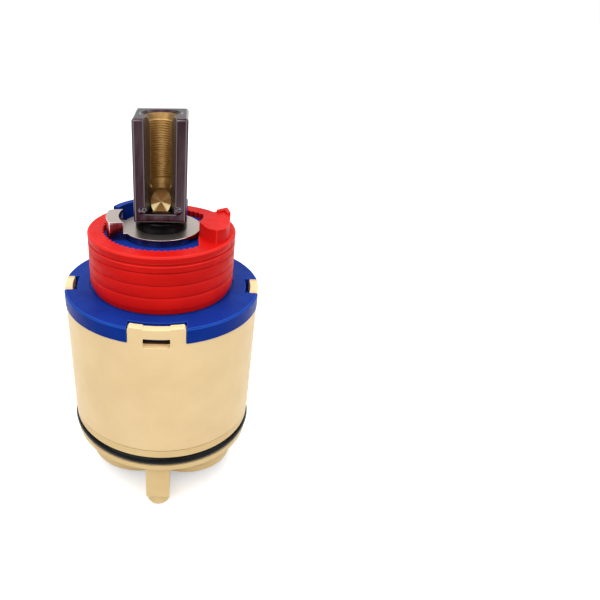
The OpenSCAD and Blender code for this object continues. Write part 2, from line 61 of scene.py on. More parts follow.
# Faces that meet at less than this are shaded as one
GENTLE = math.radians(32)
# How far large faces outweigh small ones in the shading, where 50 weighs all alike
FACE_WEIGHT = 80
# Share of its strength that each octave of a noise gives the next
OCTAVE_SHARE = 0.55
# Length after which a wave of scale 1 repeats
WAVE_LENGTH = math.tau / 20

# What feeds a node's inputs, by name or number: constants and sockets
Inputs = dict[str | int, object]


class Body(Enum):
    """The bodies of the CAD model that finished pieces ride on."""

    FIXED = "body"
    STEM = "stem"
    RING = "limit_ring"


class Slot(Enum):
    """Names of the record's material slots, which are handed to place but not used."""

    HOUSING = "housing_plastic"
    COVER = "cover_plastic"
    RING = "ring_plastic"
    PLATING = "stem_plating"
    DISC = "disc_steel"


class Corner(IntEnum):
    """What is done with a CAD node's corner: broken, shaded round, or left sharp."""

    BROKEN = 0
    ROUND = 1
    SHARP = 2


class Along(Enum):
    """The direction in which turning marks follow each other."""

    X = "X"
    Z = "Z"


def linear(colour: str) -> tuple[float, float, float, float]:
    """Turns an sRGB hex colour to linear.

    Args:
        colour: Six hex digits after a hash.

    Returns:
        Linear red, green and blue with an alpha of 1.
    """
    channels = (int(colour[i : i + 2], 16) / 255 for i in (1, 3, 5))
    red, green, blue = (c / 12.92 if c <= 0.04045 else ((c + 0.055) / 1.055) ** 2.4 for c in channels)
    return red, green, blue, 1.0


def add_node(
    tree: bpy.types.NodeTree, kind: str, inputs: Inputs | None = None, **settings: object
) -> bpy.types.Node:
    """Adds a node with its settings and links.

    Args:
        tree: Tree that the node joins.
        kind: The node's type after "ShaderNode".
        inputs: Constant or socket for each input, by name or number.
        settings: Attributes of the node.

    Returns:
        The new node.
    """
    node = tree.nodes.new("ShaderNode" + kind)
    for name, value in settings.items():
        setattr(node, name, value)
    for key, value in (inputs or {}).items():
        if isinstance(value, bpy.types.NodeSocket):
            tree.links.new(value, node.inputs[key])
        else:
            node.inputs[key].default_value = value
    return node


# FINISHES


@dataclass(frozen=True)
class Finish:
    """What every finish has: a name, and one material that is made on first use."""

    name: str

    def material(self) -> bpy.types.Material:
        """Makes the material, or returns the one that exists.

        Returns:
            The finish's material.
        """
        material = bpy.data.materials.get(self.name)
        if material is None:
            material = bpy.data.materials.new(self.name)
            material.use_nodes = True
            tree = material.node_tree
            tree.nodes.clear()
            shader = add_node(tree, "BsdfPrincipled", self.dress(tree))
            add_node(tree, "OutputMaterial", {"Surface": shader.outputs["BSDF"]})
        return material

    def dress(self, tree: bpy.types.NodeTree) -> Inputs:
        """Adds the finish's nodes.

        Args:
            tree: The material's tree.

        Returns:
            What feeds the Principled shader.
        """
        raise NotImplementedError


@dataclass(frozen=True)
class MouldedPlastic(Finish):
    """Injection-moulded plastic: even colour with a faint flow mottle, a satin skin and a painted highlight
    on its broken corners.
    """

    colour: str
    flow_colour: str
    # Painted highlight on the broken corners, and below it how strongly it is mixed in
    corner_highlight_colour: str
    corner_highlight_share: float = 0.55
    roughness: float = 0.42
    scuff: float = 0.14
    scuff_size: float = 2.2 * MM
    flow_size: float = 9 * MM
    # A mould's real grain is finer; this is as coarse as it needs to be to show.
    grain_size: float = 0.4 * MM
    grain_depth: float = 0.004 * MM
    ior: float = 1.48
    gloss: float = 0.16
    translucency: float = 0.0
    bleed: float = 1.2 * MM

    def dress(self, tree: bpy.types.NodeTree) -> Inputs:
        """Mixes the flow mottle and the painted corner highlight into the colour, and adds the skin's grain
        and scuffs.

        Args:
            tree: The material's tree.

        Returns:
            What feeds the Principled shader.
        """
        spot = add_node(tree, "TexCoord").outputs["Object"]
        flow, wear, skin = (
            add_node(
                tree,
                "TexNoise",
                {"Vector": spot, "Scale": 1 / size, "Detail": octaves, "Roughness": OCTAVE_SHARE},
            )
            for size, octaves in ((self.flow_size, 3.0), (self.scuff_size, 6.0), (self.grain_size, 3.0))
        )
        mottle = add_node(tree, "MapRange", {"Value": flow.outputs["Fac"], "From Min": 0.35, "From Max": 0.7})
        body = add_node(
            tree,
            "Mix",
            {0: mottle.outputs["Result"], 6: linear(self.colour), 7: linear(self.flow_colour)},
            data_type="RGBA",
        )
        # Painted highlight: the broken corners are mixed towards a paler colour
        corner = add_node(tree, "Attribute", attribute_name=CORNER_LAYER)
        share = add_node(tree, "Math", {0: corner.outputs["Fac"], 1: self.corner_highlight_share}, operation="MULTIPLY")
        dressed = add_node(
            tree,
            "Mix",
            {0: share.outputs[0], 6: body.outputs[2], 7: linear(self.corner_highlight_colour)},
            data_type="RGBA",
        )
        scuffs = add_node(
            tree,
            "MapRange",
            {
                "Value": wear.outputs["Fac"],
                "From Min": 0.4,
                "From Max": 0.75,
                "To Min": self.roughness,
                "To Max": self.roughness + self.scuff,
            },
        )
        grain = add_node(
            tree, "Bump", {"Height": skin.outputs["Fac"], "Strength": 0.7, "Distance": self.grain_depth}
        )
        return {
            "Base Color": dressed.outputs[2],
            "Roughness": scuffs.outputs["Result"],
            "Normal": grain.outputs["Normal"],
            "IOR": self.ior,
            "Specular IOR Level": self.gloss,
            "Subsurface Weight": self.translucency,
            "Subsurface Radius": (1.0, 0.65, 0.35),
            "Subsurface Scale": self.bleed,
        }


@dataclass(frozen=True)
class BrightPlating(Finish):
    """Dark bright plating over drawn brass: deep reflections, with painted reflection streaks along the bar
    and a painted highlight on its corners.
    """

    colour: str
    # Painted reflection: streaks of this colour along the bar
    painted_reflection_colour: str
    # Painted highlight on the broken corners
    corner_highlight_colour: str
    roughness: float = 0.1
    smear: float = 0.12
    smear_size: float = 1.5 * MM
    streak_width: float = 2.4 * MM
    streak_length: float = 16 * MM
    ripple_size: float = 3.2 * MM
    ripple_depth: float = 0.03 * MM

    def dress(self, tree: bpy.types.NodeTree) -> Inputs:
        """Paints reflection streaks along the bar and a highlight on its corners, and bends the reflections
        by a shallow ripple.

        Args:
            tree: The material's tree.

        Returns:
            What feeds the Principled shader.
        """
        spot = add_node(tree, "TexCoord").outputs["Object"]
        drawn = add_node(
            tree, "Mapping", {"Vector": spot, "Scale": (1.0, 1.0, self.streak_width / self.streak_length)}
        )
        streaks, waves, film = (
            add_node(
                tree,
                "TexNoise",
                {"Vector": vector, "Scale": 1 / size, "Detail": octaves, "Roughness": OCTAVE_SHARE},
            )
            for size, octaves, vector in (
                (self.streak_width, 4.0, drawn.outputs["Vector"]),
                (self.ripple_size, 1.0, spot),
                (self.smear_size, 5.0, spot),
            )
        )
        # Painted reflection: the streak noise mixes the paler colour in
        cloud = add_node(
            tree, "MapRange", {"Value": streaks.outputs["Fac"], "From Min": 0.38, "From Max": 0.68}
        )
        streaked = add_node(
            tree,
            "Mix",
            {0: cloud.outputs["Result"], 6: linear(self.colour), 7: linear(self.painted_reflection_colour)},
            data_type="RGBA",
        )
        # Painted highlight: the broken corners are mixed towards a paler colour
        corner = add_node(tree, "Attribute", attribute_name=CORNER_LAYER)
        tint = add_node(
            tree,
            "Mix",
            {0: corner.outputs["Fac"], 6: streaked.outputs[2], 7: linear(self.corner_highlight_colour)},
            data_type="RGBA",
        )
        ripple = add_node(
            tree, "Bump", {"Height": waves.outputs["Fac"], "Strength": 1.0, "Distance": self.ripple_depth}
        )
        smears = add_node(
            tree,
            "MapRange",
            {
                "Value": film.outputs["Fac"],
                "From Min": 0.3,
                "From Max": 0.8,
                "To Min": self.roughness,
                "To Max": self.roughness + self.smear,
            },
        )
        return {
            "Base Color": tint.outputs[2],
            "Roughness": smears.outputs["Result"],
            "Normal": ripple.outputs["Normal"],
            "Metallic": 1.0,
        }


@dataclass(frozen=True)
class TurnedMetal(Finish):
    """Metal cut on a lathe or with a tap: fine rings that follow each other along the tool's path."""

    colour: str
    tone_colour: str
    roughness: float
    metalness: float = 1.0
    tone_size: float = 1.1 * MM
    along: Along = Along.Z
    # Real turning marks are finer; these are as coarse as they need to be to show.
    pitch: float = 0.22 * MM
    ring_depth: float = 0.006 * MM
    waver: float = 0.4

    def dress(self, tree: bpy.types.NodeTree) -> Inputs:
        """Adds the rings as bump, and a slow change of tone across them.

        Args:
            tree: The material's tree.

        Returns:
            What feeds the Principled shader.
        """
        spot = add_node(tree, "TexCoord").outputs["Object"]
        rings = add_node(
            tree,
            "TexWave",
            {"Vector": spot, "Scale": WAVE_LENGTH / self.pitch, "Distortion": self.waver, "Detail": 1.0},
            bands_direction=self.along.value,
        )
        change = add_node(
            tree,
            "TexNoise",
            {"Vector": spot, "Scale": 1 / self.tone_size, "Detail": 4.0, "Roughness": OCTAVE_SHARE},
        )
        tone = add_node(
            tree,
            "Mix",
            {0: change.outputs["Fac"], 6: linear(self.colour), 7: linear(self.tone_colour)},
            data_type="RGBA",
        )
        cut = add_node(
            tree, "Bump", {"Height": rings.outputs["Fac"], "Strength": 0.8, "Distance": self.ring_depth}
        )
        return {
            "Base Color": tone.outputs[2],
            "Normal": cut.outputs["Normal"],
            "Metallic": self.metalness,
            "Roughness": self.roughness,
        }


@dataclass(frozen=True)
class DrilledMetal(Finish):
    """Metal cut by a drill's point: rings round the axis, and painted highlight fans that open from the
    centre.
    """

    colour: str
    # Painted highlight: the colour of the fans
    fan_highlight_colour: str
    roughness: float = 0.38
    metalness: float = 0.7
    centre: tuple[float, float, float] = (0.0, -0.9 * MM, 71.1 * MM)
    downhill: tuple[float, float, float] = (0.0, -0.88, -0.47)
    fans: float = 4.0
    uphill_highlight: float = 0.12
    uphill_blend: float = 0.3 * MM
    # A drill's real marks are finer; these are as coarse as they need to be to show.
    pitch: float = 0.3 * MM
    ring_depth: float = 0.006 * MM

    def dress(self, tree: bpy.types.NodeTree) -> Inputs:
        """Paints the highlight fans, and adds the rings as bump.

        Args:
            tree: The material's tree.

        Returns:
            What feeds the Principled shader.
        """
        spot = add_node(tree, "TexCoord").outputs["Object"]
        moved = add_node(tree, "VectorMath", {0: spot, 1: self.centre}, operation="SUBTRACT")
        centred = moved.outputs["Vector"]
        tone = add_node(
            tree,
            "Mix",
            {0: self.light(tree, centred), 6: linear(self.colour), 7: linear(self.fan_highlight_colour)},
            data_type="RGBA",
        )
        rings = add_node(
            tree,
            "TexWave",
            {"Vector": centred, "Scale": WAVE_LENGTH / self.pitch},
            wave_type="RINGS",
            rings_direction="Y",
        )
        cut = add_node(
            tree, "Bump", {"Height": rings.outputs["Fac"], "Strength": 0.6, "Distance": self.ring_depth}
        )
        return {
            "Base Color": tone.outputs[2],
            "Normal": cut.outputs["Normal"],
            "Metallic": self.metalness,
            "Roughness": self.roughness,
        }

    def light(self, tree: bpy.types.NodeTree, centred: bpy.types.NodeSocket) -> bpy.types.NodeSocket:
        """Adds how strongly the painted highlight fans cover a point, read from its angle round the drill's
        axis.

        Args:
            tree: The material's tree.
            centred: The point, as seen from the centre.

        Returns:
            The painted highlight, from 0 between the fans to 1 in the two downhill ones.
        """
        across = add_node(tree, "SeparateXYZ", {"Vector": centred})
        down = add_node(tree, "VectorMath", {0: centred, 1: self.downhill}, operation="DOT_PRODUCT")
        angle = add_node(
            tree, "Math", {0: across.outputs["X"], 1: down.outputs["Value"]}, operation="ARCTAN2"
        )
        # The fans are about an eighth of a turn wide, their middles 45 degrees from downhill and uphill.
        turned = add_node(tree, "Math", {0: angle.outputs[0], 1: self.fans}, operation="MULTIPLY")
        swing = add_node(tree, "Math", {0: turned.outputs[0]}, operation="COSINE")
        fan = add_node(
            tree,
            "MapRange",
            {"Value": swing.outputs[0], "From Min": 0.2, "From Max": -0.8},
            interpolation_type="SMOOTHSTEP",
        )
        share = add_node(
            tree,
            "MapRange",
            {
                "Value": down.outputs["Value"],
                "From Min": -self.uphill_blend,
                "From Max": self.uphill_blend,
                "To Min": self.uphill_highlight,
                "To Max": 1.0,
            },
        )
        lit = add_node(
            tree, "Math", {0: fan.outputs["Result"], 1: share.outputs["Result"]}, operation="MULTIPLY"
        )
        return lit.outputs[0]


@dataclass(frozen=True)
class SatinPlate(Finish):
    """Thin plating over a blasted, ground or broached face: an even satin with a fine sparkle."""

    colour: str
    tone_colour: str
    roughness: float = 0.36
    # Real grit is finer; this is as coarse as it needs to be to show.
    grit_size: float = 0.12 * MM
    grit_depth: float = 0.005 * MM
    stretch: float = 1.0

    def dress(self, tree: bpy.types.NodeTree) -> Inputs:
        """Mixes two tones by the grit, which is also the bump, and draws it out along Z.

        Args:
            tree: The material's tree.

        Returns:
            What feeds the Principled shader.
        """
        spot = add_node(tree, "TexCoord").outputs["Object"]
        drawn = add_node(tree, "Mapping", {"Vector": spot, "Scale": (1.0, 1.0, 1 / self.stretch)})
        grit = add_node(
            tree,
            "TexNoise",
            {
                "Vector": drawn.outputs["Vector"],
                "Scale": 1 / self.grit_size,
                "Detail": 4.0,
                "Roughness": OCTAVE_SHARE,
            },
        )
        tone = add_node(
            tree,
            "Mix",
            {0: grit.outputs["Fac"], 6: linear(self.colour), 7: linear(self.tone_colour)},
            data_type="RGBA",
        )
        relief = add_node(
            tree, "Bump", {"Height": grit.outputs["Fac"], "Strength": 0.5, "Distance": self.grit_depth}
        )
        return {
            "Base Color": tone.outputs[2],
            "Normal": relief.outputs["Normal"],
            "Metallic": 1.0,
            "Roughness": self.roughness,
        }


@dataclass(frozen=True)
class NitrileRubber(Finish):
    """Moulded nitrile rubber: near black with a soft oily sheen."""

    colour: str = "#08080a"
    bloom_colour: str = "#17171a"
    bloom_size: float = 1.6 * MM
    skin_size: float = 0.3 * MM
    skin_depth: float = 0.004 * MM
    roughness: float = 0.14
    bloom_roughness: float = 0.34
    gloss: float = 0.08

    def dress(self, tree: bpy.types.NodeTree) -> Inputs:
        """Adds a faint bloom to the black, and a fine skin.

        Args:
            tree: The material's tree.

        Returns:
            What feeds the Principled shader.
        """
        spot = add_node(tree, "TexCoord").outputs["Object"]
        patches, pores = (
            add_node(
                tree,
                "TexNoise",
                {"Vector": spot, "Scale": 1 / size, "Detail": octaves, "Roughness": OCTAVE_SHARE},
            )
            for size, octaves in ((self.bloom_size, 5.0), (self.skin_size, 3.0))
        )
        bloom = add_node(
            tree, "MapRange", {"Value": patches.outputs["Fac"], "From Min": 0.5, "From Max": 0.8}
        )
        tone = add_node(
            tree,
            "Mix",
            {0: bloom.outputs["Result"], 6: linear(self.colour), 7: linear(self.bloom_colour)},
            data_type="RGBA",
        )
        skin = add_node(
            tree, "Bump", {"Height": pores.outputs["Fac"], "Strength": 0.3, "Distance": self.skin_depth}
        )
        sheen = add_node(
            tree,
            "MapRange",
            {"Value": bloom.outputs["Result"], "To Min": self.roughness, "To Max": self.bloom_roughness},
        )
        return {
            "Base Color": tone.outputs[2],
            "Roughness": sheen.outputs["Result"],
            "Normal": skin.outputs["Normal"],
            "Specular IOR Level": self.gloss,
        }


# In the finishes below, a moulded or plated finish's third colour is a painted highlight on its broken
# corners, and a plated one's second colour paints reflection streaks
# Cream acetal copolymer of the housing, slightly translucent, so its thin edges look paler, and with a
# painted highlight on its broken corners
CREAM_ACETAL = MouldedPlastic(
    "cream_acetal_moulded", "#ebcf9e", "#e5c897", "#f2ddb6", roughness=0.4, translucency=0.1
)
# Acetal of the base: the housing's cream made a little darker and browner, as painted shade on the lower
# parts
PAINTED_SHADE_BASE_ACETAL = MouldedPlastic("cream_acetal_base_painted_shade", "#e3c792", "#dcbe88", "#ebd4a8", translucency=0.1)
# The housing's acetal inside the snap windows, painted dark brown as shade, where little light reaches
PAINTED_SHADE_WINDOW_ACETAL = MouldedPlastic(
    "cream_acetal_window_painted_shade", "#3f2c12", "#362610", "#3f2c12", roughness=0.6, gloss=0.02
)
# Blue acetal of the cover: strong pigment, so nothing shows through, with a satin skin
BLUE_ACETAL = MouldedPlastic(
    "blue_acetal_moulded", "#0a3088", "#08267a", "#2455ae", roughness=0.36, gloss=0.05
)
# Red nylon of the limit ring: a softer skin than acetal's
RED_NYLON = MouldedPlastic("red_nylon_moulded", "#c9130e", "#bb0f0b", "#dd322b", roughness=0.44, gloss=0.1)
# Off-white glass-filled nylon of the carrier and the washer: fibres make the skin coarse and matt
GLASS_FILLED_NYLON = MouldedPlastic(
    "glass_filled_nylon",
    "#dcd6c4",
    "#cdc6b2",
    "#ebe6d8",
    roughness=0.55,
    grain_size=0.25 * MM,
    grain_depth=0.01 * MM,
)
# Lapped alumina: a hard white with an almost polished face
LAPPED_CERAMIC = MouldedPlastic(
    "alumina_lapped",
    "#efede6",
    "#e6e3da",
    "#f8f7f3",
    roughness=0.16,
    grain_size=0.15 * MM,
    grain_depth=0.0015 * MM,
)
# Dark bright plating of the drawn brass stem: deep reflections, with painted reflection streaks up the bar
DARK_PLATING = BrightPlating("dark_plating_polished", "#24131a", "#403338", "#5b5255")
# The stem's plating over its ground top, which scatters the light and so looks greyer; its colour is also
# lighter and greyer than the sides', as painted light on the top
GROUND_PLATING = SatinPlate("dark_plating_ground", "#353130", "#292625", roughness=0.38)
# The stem's plating over the broached walls of the slot: a rougher grey with marks up the bar
BROACHED_PLATING = SatinPlate(
    "dark_plating_broached", "#1c1418", "#8e898d", roughness=0.4, grit_size=0.4 * MM, stretch=40.0
)
# The stem's plating where it gathered in beads: a lumpy mirror that sparkles, partly from its bumps and
# partly from painted reflection patches
BEADED_PLATING = BrightPlating(
    "dark_plating_beaded",
    "#150f14",
    "#746c73",
    "#5b5255",
    roughness=0.07,
    streak_width=0.5 * MM,
    streak_length=0.5 * MM,
    ripple_size=0.5 * MM,
    ripple_depth=0.12 * MM,
)
# Plating on the stop disc's edge: thinner than the stem's, so it reflects more
EDGE_PLATING = BrightPlating("dark_plating_edge", "#6d5560", "#a08a92", "#cdbfbb")
# Free-cutting brass of the tapped hole, which the plating doesn't reach: a warm yellow with tool marks
TAPPED_BRASS = TurnedMetal("brass_tapped", "#b8945a", "#85622f", 0.42, metalness=0.75)
# The stem's brass on the hole's countersink: smoother than the thread, with fainter marks, and darker as
# painted shade
COUNTERSUNK_BRASS = TurnedMetal("brass_countersunk", "#86683a", "#5f4522", 0.3, metalness=0.8)
# The stem's brass in the drilled pocket, with painted highlight fans like those that a drill's cone shows
DRILLED_BRASS = DrilledMetal("brass_drilled", "#8a6434", "#f4e2a8")
# Blasted and plated steel of the stop disc's top and of the clip: an even pale satin
SATIN_STEEL = SatinPlate("steel_satin_plated", "#c2b6ae", "#aba098")
# Fine turned stainless steel of the balance unit: a bright grey with faint rings
TURNED_STEEL = TurnedMetal("stainless_steel_turned", "#b9bab8", "#9c9d9c", 0.22, along=Along.X)
# Nitrile rubber of every seal: near black, with a sheen that shows the cord's round
BLACK_RUBBER = NitrileRubber("nitrile_rubber_moulded")

STEM_FINISHES = (DARK_PLATING, TAPPED_BRASS, GROUND_PLATING, BROACHED_PLATING, COUNTERSUNK_BRASS)
DISC_FINISHES = (EDGE_PLATING, SATIN_STEEL)
HOUSING_FINISHES = (CREAM_ACETAL, PAINTED_SHADE_WINDOW_ACETAL)


# MESHES


@dataclass(frozen=True)
class Easing:
    """How a CAD node's sharp corners are broken on its finished copy."""

    width: float
    segments: int = 2
    corner: float = math.radians(30)
    shortest: float = 0.09 * MM
    clamped: bool = False


def finished_object(mesh: bmesh.types.BMesh, name: str, finishes: Iterable[Finish]) -> bpy.types.Object:
    """Turns a bmesh to an object with its place in its mesh.

    Args:
        mesh: The shape, which is freed.
        name: Name of the object.
        finishes: Finishes in the order of the faces' material numbers.

    Returns:
        The object, smooth between its sharp edges.
    """
    for face in mesh.faces:
        face.smooth = True
    kind = mesh.edges.layers.int.get(CORNER_KIND)
    for edge in mesh.edges:
        gentle = edge.is_manifold and edge.calc_face_angle(0.0) < GENTLE
        edge.smooth = gentle or bool(kind and edge[kind] == Corner.ROUND)
    data = bpy.data.meshes.new(name)
    mesh.to_mesh(data)
    mesh.free()
    if "custom_normal" in data.attributes:
        data.attributes.remove(data.attributes["custom_normal"])
    for finish in finishes:
        data.materials.append(finish.material())
    piece = bpy.data.objects.new(name, data)
    bpy.context.scene.collection.objects.link(piece)
    weighted = piece.modifiers.new("face_weights", "WEIGHTED_NORMAL")
    weighted.keep_sharp = True
    weighted.weight = FACE_WEIGHT
    return piece


def merged_copy(node: str) -> bmesh.types.BMesh:
    """Copies a CAD node's mesh, merged, with its flat faces whole.

    Args:
        node: Name of the CAD node.

    Returns:
        The copy.
    """
    mesh = bmesh.new()
    mesh.from_mesh(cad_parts[node].data)
    bmesh.ops.remove_doubles(mesh, verts=mesh.verts, dist=SAME_SPOT)
    bmesh.ops.dissolve_limit(
        mesh, angle_limit=FLAT, verts=mesh.verts, edges=mesh.edges, use_dissolve_boundaries=False
    )
    for face in mesh.faces:
        face.material_index = 0
    return mesh


def ease(mesh: bmesh.types.BMesh, easing: Easing) -> bmesh.types.BMesh:
    """Breaks a mesh's outer corners.

    Args:
        mesh: The mesh, which is changed.
        easing: Size of the broken corners.

    Returns:
        The same mesh, whose corner layer is 1 on the broken corners.
    """
    kind = mesh.edges.layers.int.get(CORNER_KIND)
    corners = [
        edge
        for edge in mesh.edges
        if edge.is_manifold
        and edge.is_convex
        and edge.calc_face_angle(0.0) > easing.corner
        and edge.calc_length() > easing.shortest
        and not (kind and edge[kind])
    ]
    result = bmesh.ops.bevel(
        mesh,
        geom=corners,
        offset=easing.width,
        offset_type="OFFSET",
        affect="EDGES",
        segments=easing.segments,
        profile=0.5,
        material=-1,
        clamp_overlap=easing.clamped,
        loop_slide=True,
    )
    layer = mesh.loops.layers.float.new(CORNER_LAYER)
    for face in result["faces"]:
        for loop in face.loops:
            loop[layer] = 1.0
    return mesh


def place(piece: bpy.types.Object, body: Body, slot: Slot, *nodes: str) -> None:
    """Puts a piece on its body, hides the CAD nodes that it replaces, and reports it.

    Args:
        piece: The finished object.
        body: Body that it rides on.
        slot: Material slot of the record, not used.
        nodes: CAD nodes that it replaces.
    """
    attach(piece, body.value)
    if nodes:
        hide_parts(*nodes)
    LOG.info("%s: %d faces on %s", piece.name, len(piece.data.polygons), body.value)


def dress_node(node: str, finish: Finish) -> None:
    """Gives a finish to a CAD node that stays as it is.

    Args:
        node: Name of the CAD node.
        finish: Its finish.
    """
    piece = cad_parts[node]
    piece.data.materials.clear()
    piece.data.materials.append(finish.material())
    LOG.info("%s: CAD node in %s", node, finish.name)


# SUB-ASSEMBLIES


@dataclass
class Stem:
    """Plated brass stem with its open threaded slot, the stop disc and the seals that turn with it."""

    # The square bar, its hole and its slot
    top_z: float = 89.5 * MM
    square: float = 11.5 * MM
    mouth_r: float = 3.8 * MM
    mouth_z: float = 89.02 * MM
    cone_z: float = 87.65 * MM
    thread_r: float = 2.5 * MM
    relief_r: float = 2.8 * MM
    relief_z: float = 71.6 * MM
    bore_z: float = 69.85 * MM
    slot_w: float = 4.5 * MM
    slot_y: float = -1.0 * MM
    slot_rim: float = 1.5 * MM
    # How far a face or vertex may stray from a named place, near the thread and elsewhere
    thread_slack: float = 0.06 * MM
    slack: float = 0.1 * MM
    # How upright the normal of a level face is, and of one that has the upper half of a broken corner
    level: float = 0.98
    near_level: float = 0.9
    # How sideways the normal of a slot's wall is
    sideways: float = 0.8
    # Where the slot leaves the hole's wall, as seen from above
    wall_from: float = math.radians(-25)
    wall_to: float = math.radians(205)
    sweep_steps: int = 36
    # Thread and the shoulder below it
    core_r: float = 2.34 * MM
    thread_from: float = 75.75 * MM
    thread_to: float = 87.8 * MM
    thread_pitch: float = 0.5 * MM
    ridge_share: float = 0.42
    shoulder_r: float = 2.2 * MM
    shoulder_from: float = 74.35 * MM
    shoulder_land: float = 0.3 * MM
    shoulder_gap: float = 0.02 * MM
    shoulder_root: float = 0.05 * MM
    # Drilled pocket
    pocket_r: float = 2.24 * MM
    pocket_tip: float = 0.02 * MM
    pocket_wall: float = 0.1 * MM
    pocket_length: float = 4.0 * MM
    pocket_y: float = -0.9 * MM
    pocket_z: float = 71.1 * MM
    pocket_depth: float = 0.12 * MM
    pocket_lean: float = math.radians(28)
    # Beads of plating
    bead_r: float = 0.95 * MM
    bead_proud: float = 0.2 * MM
    bead_x: float = 3.8 * MM
    bead_z: float = 70.6 * MM
    easing: Easing = Easing(width=0.16 * MM, segments=3)
    disc_easing: Easing = Easing(width=0.15 * MM)

    def build(self) -> None:
        """Makes and dresses every piece that turns with the stem."""
        self.bar()
        self.thread()
        self.shoulder()
        self.pocket()
        self.beads()
        self.disc()
        for node in ("stem_o_ring", "spindle_seals"):
            dress_node(node, BLACK_RUBBER)
        dress_node("retaining_clip", SATIN_STEEL)
        dress_node("drive_carrier", GLASS_FILLED_NYLON)
        dress_node("moving_disc", LAPPED_CERAMIC)

    def is_brass(self, face: bmesh.types.BMFace) -> bool:
        """Tells the tapped hole, which the plating doesn't reach, from the plated faces.

        Args:
            face: A face of the bar.

        Returns:
            True inside the hole and on its mouth's cone.
        """
        centre = face.calc_center_median()
        radius = math.hypot(centre.x, centre.y)
        inside = radius < self.relief_r + self.thread_slack and centre.z > self.bore_z
        cone = self.cone_z < centre.z < self.mouth_z and radius < self.mouth_r
        return (inside or cone) and face.normal.z < self.near_level

    def is_drilled(self, vert: bmesh.types.BMVert) -> bool:
        """Tells the hole's foot, where the drill's cone and the slot leave edges that stay sharp.

        Args:
            vert: A vertex of the bar.

        Returns:
            True on the hole's foot.
        """
        radius = math.hypot(vert.co.x, vert.co.y)
        return radius < self.relief_r + self.slack and self.bore_z < vert.co.z < self.relief_z + self.slack

    def is_slot_wall(self, face: bmesh.types.BMFace) -> bool:
        """Tells the slot's two flaring walls.

        Args:
            face: A face of the bar.

        Returns:
            True on the walls that face each other across the slot.
        """
        centre = face.calc_center_median()
        within = self.slot_w / 2 - self.slack < abs(centre.x) < self.square / 2 - self.slot_rim
        in_front = centre.y < self.slot_y and centre.z > self.bore_z
        return within and in_front and abs(face.normal.x) > self.sideways

    def finish_of(self, face: bmesh.types.BMFace) -> Finish:
        """Chooses a face's finish: brass in the hole, ground on top, broached in the slot, else plated.

        Args:
            face: A face of the bar.

        Returns:
            Its finish.
        """
        height = face.calc_center_median().z
        if self.is_brass(face):
            return COUNTERSUNK_BRASS if height > self.cone_z else TAPPED_BRASS
        if face.normal.z > self.level and height > self.top_z - self.slack:
            return GROUND_PLATING
        return BROACHED_PLATING if self.is_slot_wall(face) else DARK_PLATING

    def bar(self) -> None:
        """Makes the square bar, whose hole keeps sharp corners at its foot."""
        mesh = merged_copy("stem")
        kind = mesh.edges.layers.int.new(CORNER_KIND)
        for edge in mesh.edges:
            if all(self.is_drilled(vert) for vert in edge.verts):
                edge[kind] = Corner.SHARP
        for face in ease(mesh, self.easing).faces:
            face.material_index = STEM_FINISHES.index(self.finish_of(face))
        bar = finished_object(mesh, "stem_bar", STEM_FINISHES)
        place(bar, Body.STEM, Slot.PLATING, "stem")

    def sweep(self, mesh: bmesh.types.BMesh, section: list[tuple[float, float]], rise: float) -> None:
        """Sweeps a closed section round the wall that the slot leaves.

        Args:
            mesh: Mesh that takes the sweep.
            section: Radius and height of each of its corners.
            rise: How far a whole turn climbs.
        """
        turned = self.wall_to - self.wall_from
        count = len(section)
        start = [
            mesh.verts.new((r * math.cos(self.wall_from), r * math.sin(self.wall_from), z))
            for r, z in section
        ]
        edges = [mesh.edges.new((start[i], start[(i + 1) % count])) for i in range(count)]
        result = bmesh.ops.spin(
            mesh,
            geom=start + edges,
            cent=(0, 0, 0),
            axis=(0, 0, 1),
            dvec=(0, 0, rise * turned / math.tau / self.sweep_steps),
            angle=turned,
            steps=self.sweep_steps,
            use_duplicate=False,
        )
        mesh.faces.new(start)
        mesh.faces.new([part for part in result["geom_last"] if isinstance(part, bmesh.types.BMVert)])

    def thread(self) -> None:
        """Makes the thread's ridges on the wall that the slot leaves."""
        mesh = bmesh.new()
        half = self.thread_pitch * self.ridge_share
        root = self.thread_r + self.thread_slack
        for turn in range(int((self.thread_to - self.thread_from) / self.thread_pitch)):
            z = self.thread_from + (turn + 0.5) * self.thread_pitch
            self.sweep(mesh, [(root, z - half), (self.core_r, z), (root, z + half)], self.thread_pitch)
        bmesh.ops.recalc_face_normals(mesh, faces=mesh.faces)
        thread = finished_object(mesh, "stem_thread", (TAPPED_BRASS,))
        place(thread, Body.STEM, Slot.PLATING)

    def shoulder(self) -> None:
        """Makes the narrower shoulder below the thread, where the tap ran out."""
        mesh = bmesh.new()
        root = self.relief_r + self.shoulder_root
        foot = self.shoulder_from
        land = foot + self.shoulder_land
        top = self.thread_from - self.shoulder_gap
        self.sweep(mesh, [(root, foot), (self.shoulder_r, foot), (self.shoulder_r, land), (root, top)], 0.0)
        bmesh.ops.recalc_face_normals(mesh, faces=mesh.faces)
        shoulder = finished_object(mesh, "stem_shoulder", (TAPPED_BRASS,))
        place(shoulder, Body.STEM, Slot.PLATING)

